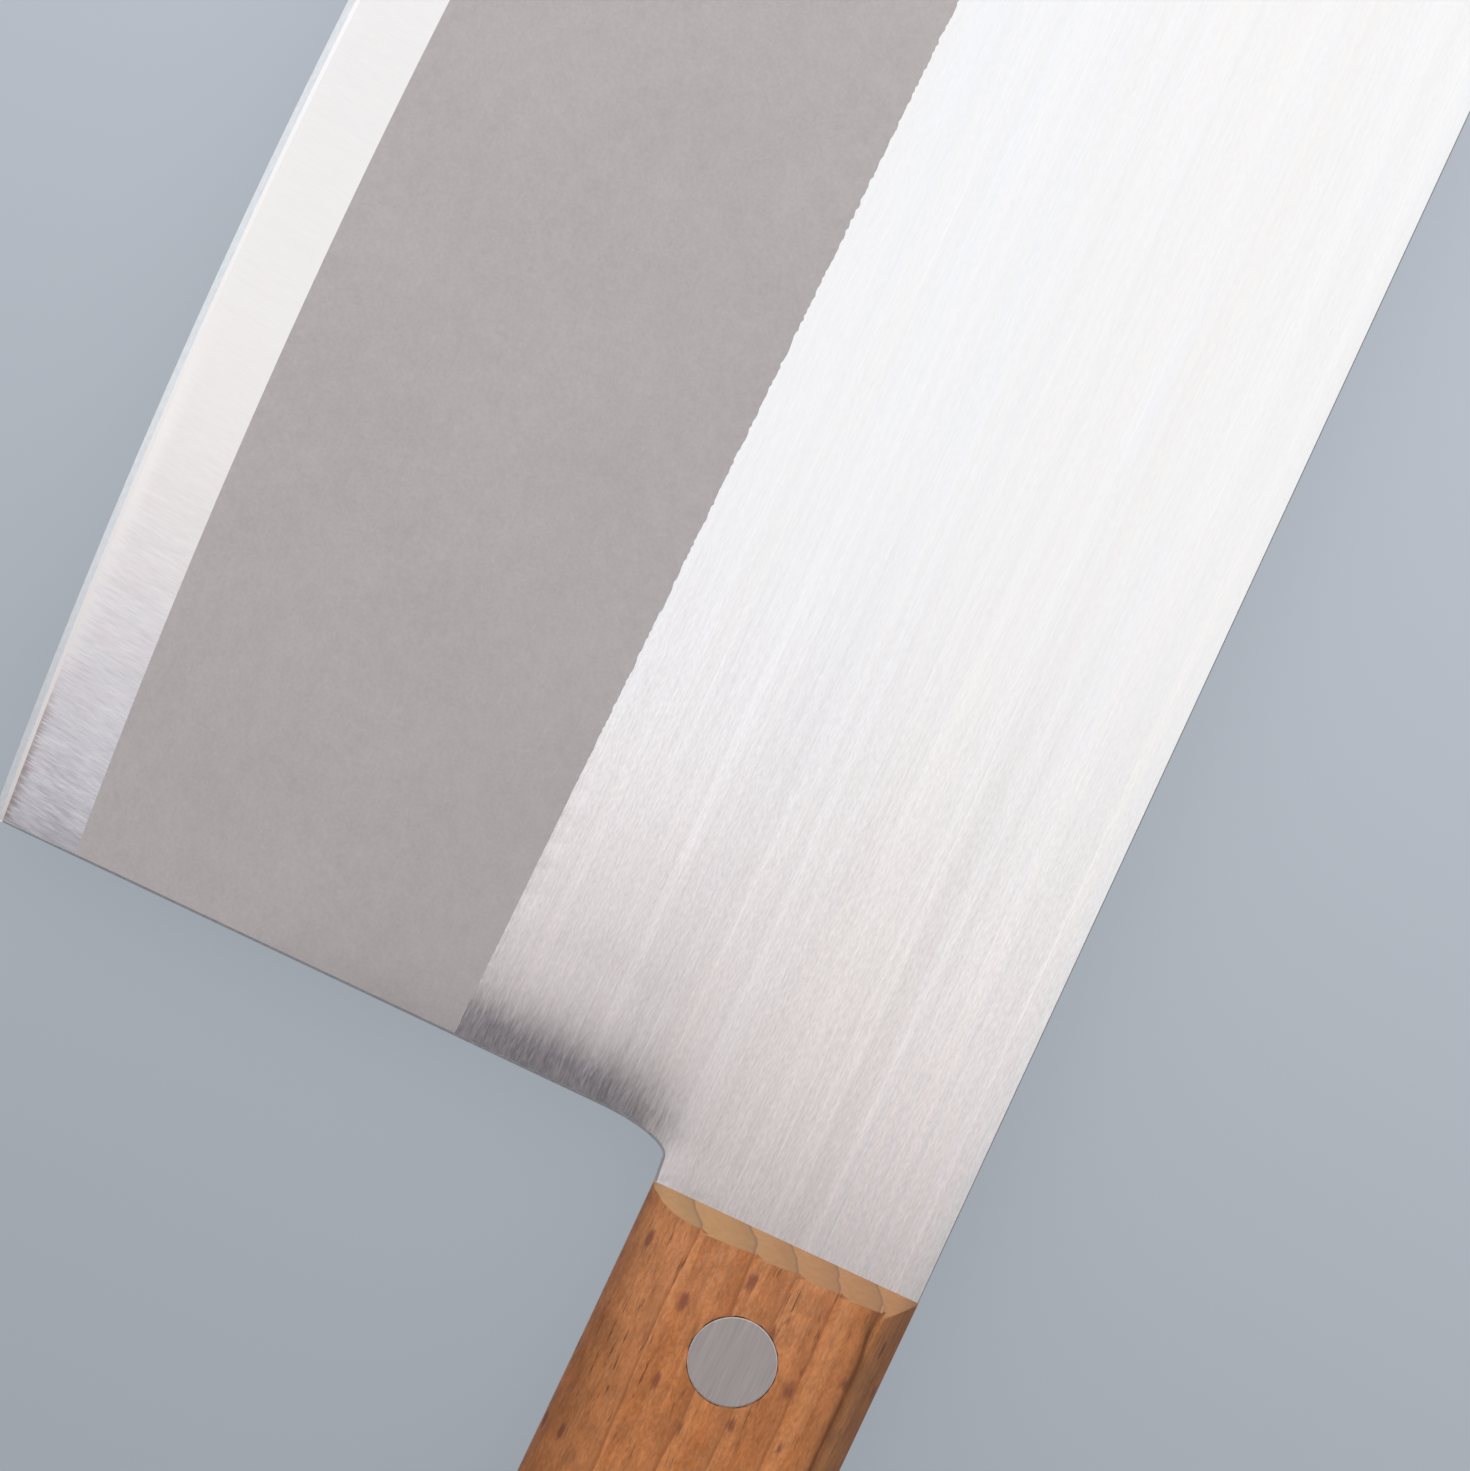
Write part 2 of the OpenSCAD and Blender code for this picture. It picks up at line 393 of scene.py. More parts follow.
def blastedSteel():
    material, tree, shader = newMaterial("blasted steel", blasted["shader"])
    where = measured(tree)["Place"]
    tone = 1.0
    for size, strength in blasted["grains"]:
        grain = noise(where, 1 / size)[0]
        tone = plus(times(minus(grain, 0.5), strength), tone)
    tree.links.new(shade(blasted["colour"], tone), shader.inputs["Base Color"])
    addBump(tree, shader, noise(where, 1 / blasted["bumpSize"])[0], *blasted["bump"])
    return material


bevel = {
    "shader": {"Metallic": 1.0, "Roughness": 0.165, "Anisotropic": 0.2, "Anisotropic Rotation": 0.25},
    "near": (0.850, 0.878, 0.950), "far": (0.950, 0.935, 0.938), "nearToFar": (6.0, 48.0), "skew": 6.0,
    "scratches": [(1.5, 0.17, 5, 0.24), (3.2, 0.36, 17, 0.20), (6, 1.5, 33, 0.14)],
    "nearHeel": (60.0, 6.0, 0.12, 1.0), "plainer": (20.0, 8.0, 1.0, 1.6),
    "hue": (4, 1.6, 77, 2.6), "rosy": (1.0, 0.965, 0.98), "bluish": (0.965, 0.985, 1.0),
    "stain": (0.63, 0.565, 0.52), "comb": (7, 0.24, 88, 3.2), "stainOuter": (1.5, 1.5), "stainFull": 1.25,
    "stainTone": (0.1, 0.8, 0.6, 1.0), "stainStart": (5.2, 6.5), "stainEnd": (24.0, 15.0),
    "paintedHighlight": (3.2, 1.1), "paintedHighlightStart": (13.0, 26.0), "paintedHighlightEnd": (66.0, 46.0, 0.01, 0.10),
    "farTone": (48.0, 100.0, 1.0, 0.925),
}


# Share of a brown stain that lies in comb-like streaks beside the fine bevel, near the heel
def stainShare(inward, s, comb):
    least, grown = bevel["stainOuter"]
    outer = plus(least, times(comb, grown))
    tone = between(comb, *bevel["stainTone"])
    along = ramps(s, bevel, "stainStart", "stainEnd")
    return times(between(inward, outer, bevel["stainFull"]), tone, *along)


# The polished bevel: scratches run across it, plainest near the heel. Painted shade makes it darker and bluer
# near the heel and darker towards the tip, and a painted highlight brightens it beside the fine bevel
def bevelSteel():
    b = bevel
    material, tree, shader = newMaterial("polished bevel", b["shader"])
    where, s, t, _ = measured(tree)
    turn = {"Vector": where, "Angle": math.radians(-90 + b["skew"])}
    skewed = addNode(tree, "VectorRotate", turn, rotation_type="Z_AXIS").outputs[0]
    nearHeel, plainer, farShare = ramps(s, b, "nearHeel", "plainer", "nearToFar")
    tone = times(streakSum(skewed, b["scratches"]), plainer, nearHeel)
    # Painted shade: darker and bluer near the heel
    colour = mixColour(farShare, b["near"], b["far"])
    colour = shade(colour, plus(tone, 1.0))
    tint = mixColour(streak(skewed, *b["hue"]), b["rosy"], b["bluish"])
    colour = tintBy(nearHeel, colour, tint)
    radius, centreT = bladeShape["edgeRadius"], bladeShape["height"] - bladeShape["edgeRadius"]
    out = hypotenuse(minus(s, bladeShape["bellyS"]), minus(t, centreT))
    inward = minus(radius, out)
    comb = streak(skewed, *b["comb"])
    colour = tintBy(stainShare(inward, s, comb), colour, b["stain"])
    # Painted highlight beside the fine bevel, and painted shade towards the tip
    start, end, farTone = ramps(s, b, "paintedHighlightStart", "paintedHighlightEnd", "farTone")
    paintedHighlight = times(between(inward, *b["paintedHighlight"]), start, end)
    tree.links.new(shade(colour, plus(paintedHighlight, farTone)), shader.inputs["Base Color"])
    followBrushing(tree, shader)
    return material


# Steel with streaks about one colour, or about two colours that follow each other along s
def plainSteel(name, look):
    material, tree, shader = newMaterial(name, look["shader"])
    where, s, _, _ = measured(tree)
    tone = plus(streakSum(where, look["streaks"]), 1.0)
    colour = look["colour"]
    if "far" in look:
        colour = mixColour(between(s, *look["nearToFar"]), colour, look["far"])
    tree.links.new(shade(colour, tone), shader.inputs["Base Color"])
    return material, tree, shader, where


# The fine bevel's colour darkens towards the heel, and that darkening is painted shade
fineBevel = {
    "shader": {"Metallic": 1.0, "Roughness": 0.35}, "streaks": [(0.8, 0.3, 9, 0.16)],
    "colour": (0.575, 0.610, 0.640), "far": (0.775, 0.825, 0.865), "nearToFar": (2.0, 55.0),
}


def edgeSteel():
    return plainSteel("cutting edge", fineBevel)[0]


dullShaded = {
    "shader": {"Metallic": 1.0, "Roughness": 0.42}, "streaks": [(6, 0.6, 29, 0.3)],
    "colour": (0.36, 0.363, 0.385),
}


# The plate's broken edges and its sides have a dull ground finish, and their dark colour is painted shade
def dullShadedSteel():
    return plainSteel("dull shaded edge", dullShaded)[0]


burrLook = {"Metallic": 1.0, "Roughness": 0.2, "Base Color": (0.99, 0.975, 0.98)}


# The burr line between bevel and fine bevel catches the light all along
def burrSteel():
    return newMaterial("burr line", burrLook)[0]


# Blade

handleShape = {
    "length": (scaleHigh.x - scaleLow.x) / mm, "grip": 30.7, "buttFlare": 2.3, "buttDrop": 0.9,
    "buttCorner": 10.0, "cornerSteps": 12, "step": 2.0,
}


def spineSide(d):
    return handleShape["buttDrop"] * d / handleShape["length"]


def heelSide(d):
    return handleShape["grip"] + handleShape["buttFlare"] * (d / handleShape["length"]) ** 2


# Handle outline from the front spine corner round the butt to the front heel corner
def handlePath():
    h = handleShape
    d, r, steps = h["length"] - h["buttCorner"], h["buttCorner"], h["cornerSteps"]
    count = round(d / h["step"])
    path = [(-d * i / count, spineSide(d * i / count)) for i in range(count)]
    path += arc(-d, spineSide(d) + r, r, r, 270, 180, steps)
    path += arc(-d, heelSide(d) - r, r, r, 180, 90, steps)
    return path + [(-d * i / count, heelSide(d * i / count)) for i in range(count - 1, -1, -1)]


bladeShape = {
    "thickness": (bladeHigh.z - bladeLow.z) / mm, "height": 112.8, "edgeRadius": 873.0, "bellyS": 72.3,
    "tip": (bladeHigh.x - frontX) / mm, "neckLength": 2.6, "neckWidth": 30.95, "neckRound": 8.4,
    "heelS": 4.9, "heelLean": 0.4, "heelCorner": 0.5, "toeCorner": 1.5, "spineCorner": 2.5,
    "bevelWidth": 9.6, "bevelThickness": 1.1, "taperWidth": 47.0,
    "fineWidth": 0.72, "fineThickness": 0.25, "landThickness": 0.03, "burr": 0.44, "burrSlope": 0.06,
    "heelBreak": 0.28, "edgeEndBreak": 0.16, "breakGrows": 14, "spineBreak": 0.1, "leastBreak": 0.06,
    "breakSlope": 0.75, "mostBreak": 0.7,
}

# The steel rolls off beside heel and neck, and towards the heel the grinding has left the flat a little
# lower: slopes, widths in mm, and ramps along s or t
rollShape = {
    "slope": 0.062, "width": 2.4, "neckWidth": 4.2, "neckFrom": (42, 31), "from": (26, 46), "most": 0.3,
    "bevelSlope": 0.02, "bevelWidth": 1.4, "bevelBlend": 5, "taperLess": 0.85, "taperFrom": (58, 84),
    "hollow": 0.0047, "hollowFrom": (46, 28), "hollowEnd": 4, "hollowAcross": (17, 46),
}

# The line between brushed and blasted steel and its spacing, more ragged as s grows over the last two
finishLine = {
    "start": 56.35, "slope": -0.0205, "gap": 0.4, "past": 1.5, "ragged": 0.055, "calm": 0.45, "wilder": 1.55,
    "wilderFrom": (26, 54),
}

# Gaps between the outline's points in mm, and steps round its corners
outlineMesh = {
    "neckGap": 0.3, "heelGap": 0.8, "longGap": 2.5, "spineEnd": 5, "neckSteps": 20, "heelSteps": 6,
    "edgeSteps": 130, "edgeStart": 0.6, "edgeEnd": 0.2, "toeSteps": 8, "spineSteps": 10,
}

# Points strewn over the plate: first, end and step along s and then along t, and how far they stay inside
fillGrids = [((20, bladeShape["tip"] - 1, 3), (1.5, bladeShape["height"] - 2, 3)),
             ((0.6, 19.5, 1), (1.2, bladeShape["height"] - 1, 1.3))]
fillInside = {"edge": 1.2, "heel": 0.8, "neck": 0.6}
lineMesh = {"gap": 1.5, "before": 3, "past": 6, "innerRing": 0.15}


def edgeT(s, within=0.0):
    b = bladeShape
    return b["height"] - b["edgeRadius"] + math.sqrt((b["edgeRadius"] - within) ** 2 - (s - b["bellyS"]) ** 2)


# Distance inwards from the cutting edge's arc
def fromEdge(s, t):
    b = bladeShape
    return b["edgeRadius"] - math.hypot(s - b["bellyS"], t - b["height"] + b["edgeRadius"])


def heelLineS(t):
    b = bladeShape
    return b["heelS"] + max(t - b["neckWidth"] - b["neckRound"], 0) * math.tan(math.radians(b["heelLean"]))


# Half the steel's thickness before edges are broken: plate, taper, bevel, fine bevel
def groundHalf(s, t):
    b = bladeShape
    w = fromEdge(s, t)
    fine, land = b["fineWidth"], b["landThickness"] / 2
    if w < fine:
        return land + (b["fineThickness"] / 2 - land) * max(w, 0) / fine
    top = b["fineThickness"] / 2 + b["burr"] * b["burrSlope"]
    if w < fine + b["burr"]:
        return b["fineThickness"] / 2 + (w - fine) * b["burrSlope"]
    if w < b["bevelWidth"]:
        rise, run = b["bevelThickness"] / 2 - top, b["bevelWidth"] - fine - b["burr"]
        return top + rise * (w - fine - b["burr"]) / run
    slope = (b["thickness"] - b["bevelThickness"]) / 2 / b["taperWidth"]
    return min(b["bevelThickness"] / 2 + slope * (w - b["bevelWidth"]), b["thickness"] / 2)


# How much lower the flat lies towards the heel: its slope is added up mm by mm from where it starts
def hollow(s):
    r = rollShape
    steps = [x for x in range(r["hollowFrom"][0], r["hollowEnd"], -1) if x > s]
    return r["hollow"] * sum(smooth(*r["hollowFrom"], x) for x in steps)


# Half the thickness of the finished steel, from the distances to the rim and to the heel's side
def finishedHalf(s, t, fromRim, edgeBreak, fromHeel):
    b, r = bladeShape, rollShape
    half = groundHalf(s, t)
    onBevel = smooth(b["bevelWidth"] + r["bevelBlend"], b["bevelWidth"], edgeT(min(s, b["tip"])) - t)
    width = r["width"] + (r["neckWidth"] - r["width"]) * smooth(*r["neckFrom"], t)
    roll = r["slope"] * width * math.exp(-fromHeel / width) * smooth(*r["from"], t) * (1 - onBevel)
    roll += hollow(s) * smooth(*r["hollowAcross"], t) * (1 - onBevel)
    roll *= 1 - r["taperLess"] * smooth(*r["taperFrom"], t)
    roll = min(roll + r["bevelSlope"] * math.exp(-fromHeel / r["bevelWidth"]) * onBevel, half * r["most"])
    cut = min(b["breakSlope"] * max(edgeBreak - fromRim, 0), half * b["mostBreak"])
    return max(half - roll - cut, b["landThickness"] / 2)


# The blade's outline from the neck round heel, edge, toe and spine, the width of the broken edge at each
# point, and the part that is neck and heel
def bladePath():
    b, m, grip = bladeShape, outlineMesh, handleShape["grip"]
    tip, corner, heelCorner, toeCorner = (b[key] for key in ("tip", "spineCorner", "heelCorner", "toeCorner"))
    roundT = b["neckWidth"] + b["neckRound"]
    neck = stretch((0, grip), (b["neckLength"], b["neckWidth"]), m["neckGap"])
    neck += arc(b["neckLength"], roundT, b["heelS"] - b["neckLength"], b["neckRound"], -90, 0, m["neckSteps"])
    path = [(p, b["heelBreak"]) for p in neck]
    cornerS = heelLineS(edgeT(b["heelS"])) + heelCorner
    cornerT = edgeT(cornerS, heelCorner)
    grown = b["heelBreak"] - b["edgeEndBreak"]
    for p in stretch((b["heelS"], roundT), (heelLineS(cornerT), cornerT), m["heelGap"])[1:]:
        path.append((p, b["edgeEndBreak"] + grown * smooth(cornerT, cornerT - b["breakGrows"], p[1])))
    steps = m["heelSteps"]
    for i, p in enumerate(arc(cornerS, cornerT, heelCorner, heelCorner, 180, 96, steps)):
        path.append((p, b["edgeEndBreak"] * (1 - i / steps)))
    toeS, count = tip - toeCorner, m["edgeSteps"]
    toeT = edgeT(toeS, toeCorner)
    first, last = cornerS + m["edgeStart"], toeS + toeCorner * m["edgeEnd"]
    path += [((s, edgeT(s)), 0.0) for s in (first + (last - first) * i / count for i in range(count + 1))]
    steps = m["toeSteps"]
    for i, p in enumerate(arc(toeS, toeT, toeCorner, toeCorner, 76, 0, steps)):
        path.append((p, b["spineBreak"] * i / steps))
    rest = stretch((tip, toeT), (tip, corner), m["longGap"])[1:]
    rest += arc(tip - corner, corner, corner, corner, 0, -90, m["spineSteps"])
    rest += stretch((tip - corner, 0), (m["spineEnd"], 0), m["longGap"])[1:]
    rest += stretch((m["spineEnd"], 0), (0, 0), m["neckGap"]) + [(0, 0)]
    path += [(p, b["spineBreak"]) for p in rest]
    heel = [p for p, _ in path if p[1] > grip - 0.5 and p[0] < b["heelS"] + 1]
    return [p for p, _ in path], [size for _, size in path], heel


def finishPoints():
    f, heelS = finishLine, bladeShape["heelS"]
    random = np.random.default_rng(5)
    points = []
    for s in np.arange(heelS - f["past"], bladeShape["tip"] + f["past"], f["gap"]):
        ragged = random.uniform(-f["ragged"], f["ragged"])
        ragged *= f["calm"] + f["wilder"] * smooth(*f["wilderFrom"], s)
        points.append((s, f["start"] + f["slope"] * (s - heelS) + ragged))
    return points


# Arcs that bound bevel, fine bevel and burr line, run out past both ends of the blade
def bevelLines():
    b, m = bladeShape, lineMesh
    reach = [b["heelS"] - m["before"] + i * m["gap"] for i in range(int((b["tip"] + m["past"]) / m["gap"]))]
    widths = (b["bevelWidth"], b["fineWidth"], b["fineWidth"] + b["burr"])
    return [[(s, edgeT(s, width)) for s in reach] for width in widths]


def fillPoints():
    near, grip = fillInside, handleShape["grip"]
    points = [(s, t) for along, across in fillGrids for s in np.arange(*along) for t in np.arange(*across)]
    points = [(s, t) for s, t in points if t < edgeT(s) - near["edge"]]
    return [(s, t) for s, t in points if s > heelLineS(t) + near["heel"] or t < grip - near["neck"]]


rivetPlaces = [(-d, (spineSide(d) + heelSide(d)) / 2) for d in (13.35, 55.175, 97.0)]
rivetHole = 2.55


bladeFinishes = {
    "brushed": brushedSteel, "blasted": blastedSteel, "bevel": bevelSteel, "fine": edgeSteel,
    "burr": burrSteel, "dullShaded": dullShadedSteel,
}
mapSize = 100  # mm of steel that one unit of the brushing map covers
crispPairs = [{"blasted", "bevel"}, {"bevel", "burr"}, {"fine", "burr"}]


# The finish of a triangle on the blade's face, from its middle
def finishAt(s, t, finish, onBreak):
    b = bladeShape
    w = fromEdge(s, t)
    if w < b["fineWidth"]:
        return "fine"
    if w < b["fineWidth"] + b["burr"]:
        return "burr"
    if s > -0.3 and onBreak:
        return "dullShaded"
    if w < b["bevelWidth"]:
        return "bevel"
    return "blasted" if s > 0 and t > np.interp(s, *finish) else "brushed"


# Place in the brushing map, whose first number runs along the brushing
def brushingAt(s, t, kind):
    turn = math.radians(bevel["skew"])
    if kind == "bevel":
        s, t = t * math.cos(turn) + s * math.sin(turn), t * math.sin(turn) - s * math.cos(turn)
    return s / mapSize, t / mapSize


# The lines where two finishes meet on a ridge stay crisp
def crispLines(mesh):
    names = list(bladeFinishes)
    sharp = mesh.attributes.get("sharp_edge") or mesh.attributes.new("sharp_edge", "BOOLEAN", "EDGE")
    kindsOf = {}
    for poly in mesh.polygons:
        for key in poly.edge_keys:
            kindsOf.setdefault(key, set()).add(names[poly.material_index])
    for edge in mesh.edges:
        met = kindsOf.get(edge.key, set())
        if met in crispPairs or "dullShaded" in met and len(met) > 1:
            sharp.data[edge.index].value = True


def makeBlade():
    rim, breaks, heel = bladePath()
    widths = [max(size, bladeShape["leastBreak"]) for size in breaks]
    rings = [inset(rim, [share * width for width in widths]) for share in (0.5, 1.0)]
    rings.append(inset(rim, [width + lineMesh["innerRing"] for width in widths]))
    finish = finishPoints()
    holes = [circle(p, rivetHole, 36) for p in rivetPlaces]
    outline = rim[:-1] + handlePath()[:-1]
    flat, triangles = fillPlan(outline, rings + [finish] + bevelLines(), fillPoints(), holes)

    away, size = nearPath(flat, rim, [[x] for x in breaks])
    size, finish = size[:, 0], np.array(finish).T
    fromHeel = nearPath(flat, heel, [[0]] * len(heel))[0]
    half = [finishedHalf(*p, *rest) for p, *rest in zip(flat, away, size, fromHeel)]
    onBreak = away - size < 0.01

    verts = [(s, t, h) for (s, t), h in zip(flat, half)] + [(s, t, -h) for (s, t), h in zip(flat, half)]
    n, faces, kinds, uvs = len(flat), [], [], []
    for tri in triangles:
        cs, ct = (sum(flat[i][k] for i in tri) / 3 for k in (0, 1))
        kind = finishAt(cs, ct, finish, onBreak[tri].all())
        for corners in (tri, [i + n for i in reversed(tri)]):
            faces.append(corners)
            kinds.append(kind)
            uvs.append([brushingAt(*flat[i % n], kind) for i in corners])
    for a, c in rimEdges(triangles):
        corners = [c, a, a + n, c + n]
        faces.append(corners)
        kinds.append("dullShaded" if max(flat[a][0], flat[c][0]) > 0.1 else "brushed")
        run = 0 if abs(flat[a][0] - flat[c][0]) > abs(flat[a][1] - flat[c][1]) else 1
        uvs.append([(verts[i][run] / mapSize, verts[i][2] / mapSize) for i in corners])
    materials = [make() for make in bladeFinishes.values()]
    kinds = [list(bladeFinishes).index(kind) for kind in kinds]
    blade = newPiece("cleaver_blade", verts, faces, materials, kinds, uvs)
    crispLines(blade.data)
    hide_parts("blade")
    return blade


makeBlade()


# Wood

wood = {
    "shader": {"Roughness": 0.45, "Specular IOR Level": 0.25},
    "colour": (0.470, 0.158, 0.046), "light": (0.572, 0.226, 0.081), "dark": (0.285, 0.092, 0.030),
    "fleck": (0.215, 0.064, 0.034), "fleckShare": 0.8, "pore": (0.130, 0.045, 0.022), "poreShare": 0.75,
    "pale": (0.70, 0.38, 0.20), "paintedSheenShare": (0.4, 1.0, 0.0, 0.16), "blotchScale": 0.3,
    "curlSize": (0.9, 1.7, 1.7), "curl": (1.0, 1.0, 1.6),  # scale, detail and distortion
    "pithT": 48.0, "pithZ": 11.25, "ringGap": 4.83, "ringStart": 1.25, "ringShift": 0.8, "ringWander": 1.6,
    "wideRing": 1.5, "wideFrom": (28.0, 23.8), "late": (0.35, 1.0), "lateShare": 0.30,
    "line": ((0.88, 0.98), (1.0, 0.985), 0.50),
    "paintedFrontSheen": (1.09, 1.15, 1.32), "frontAlong": (-22.0, -5.0), "frontAcross": (4.0, 9.0),
    "bump": (0.03, 0.6), "fibreHeight": 0.4,
}

# Streak layers: (length, width, seed, contrast)
woodLayers = {
    "wander": (16, 5, 2, 1.0), "long": (30, 2.4, 13, 2.4), "figure": (2.6, 0.9, 91, 2.2),
    "fibre": (1.6, 0.34, 29, 2.2), "lines": (22, 0.5, 35, 2.4), "sheen": (0.9, 0.3, 17, 2.6),
    "pores": (2.6, 0.26, 53, 1.0), "patch": (12, 1.6, 71, 1.6), "gap": (5, 1.2, 44, 2.4),
}

# How far each layer darkens or lightens the wood
woodTones = {
    "blotch": (0.25, 0.75, 0.88, 1.10), "figure": (0.0, 1.0, 0.91, 1.09), "fibre": (0.0, 1.0, 0.92, 1.05),
    "lines": (0.1, 0.9, 0.91, 1.07), "curl": (0.32, 0.68, 0.90, 1.09),
}

flecks = {
    "spacing": (0.23, 0.45, 0.45), "bendNoise": (0.9, 1.0), "bend": (0.12, 0.16, 0.0),
    "size": (0.12, 0.85, 0.0, 0.30), "rough": 0.12, "edge": (0.04, -0.15),
}

pores = {"often": (19.0, 25.0, 0.60, 0.40), "soft": 0.12, "edge": (0.62, 0.68)}

# Painted shade darkens a scale's rounded sides, most of all beside the dark seam that runs along the spine's
# side, and that side is tinted warmer
woodSides = {
    "seamT": 3.1, "wander": 0.4, "drift": (-8.0, -4.0, 0.0, 0.5), "seam": (0.34, 0.06),
    "gaps": (0.2, 0.55, 0.35, 1.0), "seamStart": (-3.0, -5.0), "seamShare": 0.6,
    "paintedSeamShade": (1.0, 0.1, 1.0, 0.68), "spine": (1.6, 2.7, 0.69, 0.86), "pastSpine": (3.6, 8.0, 1.0, 1.163),
    "heelTurn": (-12.0, -18.0), "heelFrom": (26.2, 23.6), "heelTo": (31.0, 28.6), "heel": 0.74,
    "tint": (1.0, 1.0, 0.86), "tintAcross": (4.0, 2.6),
}

endGrain = {
    "facing": (0.80, 0.93), "colour": (0.520, 0.232, 0.076), "dark": (0.250, 0.095, 0.030),
    "ring": (0.2, 1.0, 1.06, 0.84), "figure": (0.0, 1.0, 0.95, 1.05),
    "spineCorner": (0.2, 2.4, 0.72, 1.0), "heelCorner": (30.6, 28.6, 0.78, 1.0),
    "pale": (1.05, 1.19, 1.28), "paleAcross": (7.0, 27.0), "line": ((0.89, 0.97), (1.0, 0.98), 0.55),
}


# Place within a growth ring, 0 to 1, round a pith outside the heel's side
def ringPhase(t, z, wander):
    w = wood
    radius = hypotenuse(minus(t, w["pithT"]), minus(maths("ABSOLUTE", z), w["pithZ"]))
    wide = between(radius, *w["wideFrom"], 0.0, w["wideRing"])
    shifted = plus(radius, times(wander, w["ringWander"]), wide)
    started = minus(shifted, w["ringStart"] + w["ringShift"])
    return maths("FRACT", maths("DIVIDE", started, w["ringGap"]))


# Share of the thin dark line that ends a growth ring
def ringLine(phase, rise, fall, share):
    return times(between(phase, *rise), between(phase, *fall), share)


def longGrain(made, phase):
    colour = mixColour(made["long"], wood["colour"], wood["light"])
    for name, ramp in woodTones.items():
        colour = shade(colour, between(made[name], *ramp))
    # Pale flecks of painted sheen
    colour = mixColour(between(made["sheen"], *wood["paintedSheenShare"]), colour, wood["pale"])
    late = times(between(phase, *wood["late"]), wood["lateShare"])
    for share in (late, ringLine(phase, *wood["line"])):
        colour = mixColour(share, colour, wood["dark"])
    return colour


# Ray flecks, drawn out along the grain
def fleckMask(where, fibre):
    f = flecks
    bend = vectorMaths("MULTIPLY", noise(where, *f["bendNoise"])["Color"], f["bend"])
    bent = vectorMaths("ADD", vectorMaths("MULTIPLY", where, f["spacing"]), bend)
    cells = fedNode("TexVoronoi", {"Vector": bent, "Scale": 1.0, "Randomness": 1.0}).outputs
    size = between(splitVector(cells["Color"])[0], *f["size"])
    rough = times(minus(fibre, 0.5), f["rough"])
    return between(plus(minus(cells["Distance"], size), rough), *f["edge"])


# Pores: short dark strokes in patches, more of them towards the heel's side
def poreMask(made, t):
    often = between(t, *pores["often"])
    patches = between(made["patch"], often, plus(often, pores["soft"]))
    return times(between(made["pores"], *pores["edge"]), patches)


def shadeSides(colour, made, s, t):
    w = woodSides
    drift = plus(times(made["wander"], w["wander"]), between(s, *w["drift"]))
    offLine = maths("ABSOLUTE", minus(minus(t, drift), w["seamT"]))
    gaps, start = between(made["gap"], *w["gaps"]), between(s, *w["seamStart"])
    seam = times(between(offLine, *w["seam"]), gaps, start, w["seamShare"])
    colour = mixColour(seam, colour, wood["pore"])
    # Painted shade beside the seam
    colour = shade(colour, between(offLine, *w["paintedSeamShade"]))
    ends = [between(s, *w["heelTurn"], *w[key]) for key in ("heelFrom", "heelTo")]
    spine, past, tintShare = ramps(t, w, "spine", "pastSpine", "tintAcross")
    # Painted shade on the rounded sides of spine and heel
    colour = shade(colour, times(spine, past, between(t, *ends, 1.0, w["heel"])))
    return tintBy(tintShare, colour, w["tint"])


def endColour(made, phase, t):
    e = endGrain
    ring, figure = between(phase, *e["ring"]), between(made["figure"], *e["figure"])
    # Painted shade darkens the end face's corners at the spine's and heel's sides
    spine, heel, across = ramps(t, e, "spineCorner", "heelCorner", "paleAcross")
    tone = times(ring, figure, spine, heel)
    paler = mixColour(across, (1, 1, 1), e["pale"])
    colour = tintBy(1.0, shade(e["colour"], tone), paler)
    return mixColour(ringLine(phase, *e["line"]), colour, e["dark"])


# Beech: growth rings, long streaks, ray flecks and pores. Where the cut is across the grain the colour
# is paler and only the rings show.
def beech(seed):
    material, tree, shader = newMaterial(f"beech {seed}", wood["shader"])
    where, s, t, z = measured(tree)
    made = {}
    for name, (length, width, first, contrast) in woodLayers.items():
        made[name] = streak(where, length, width, first + seed, contrast)
    made["blotch"] = noise(where, wood["blotchScale"])[0]
    made["curl"] = noise(vectorMaths("MULTIPLY", where, wood["curlSize"]), *wood["curl"])[0]

    phase = ringPhase(t, z, made["wander"])
    colour = longGrain(made, phase)
    fleck = times(fleckMask(where, made["fibre"]), wood["fleckShare"])
    colour = mixColour(fleck, colour, wood["fleck"])
    pore = poreMask(made, t)
    colour = mixColour(times(pore, wood["poreShare"]), colour, wood["pore"])
    colour = shadeSides(colour, made, s, t)
    # Painted sheen: the top is paler towards the front
    front = times(between(s, *wood["frontAlong"]), between(t, *wood["frontAcross"]))
    colour = tintBy(front, colour, wood["paintedFrontSheen"])

    normal = addNode(tree, "NewGeometry").outputs["Normal"]
    facing = maths("ABSOLUTE", splitVector(normal)[0])
    acrossGrain = between(facing, *endGrain["facing"])
    colour = mixColour(acrossGrain, colour, endColour(made, phase, t))
    tree.links.new(colour, shader.inputs["Base Color"])
    addBump(tree, shader, minus(times(made["fibre"], wood["fibreHeight"]), pore), *wood["bump"])
    return material


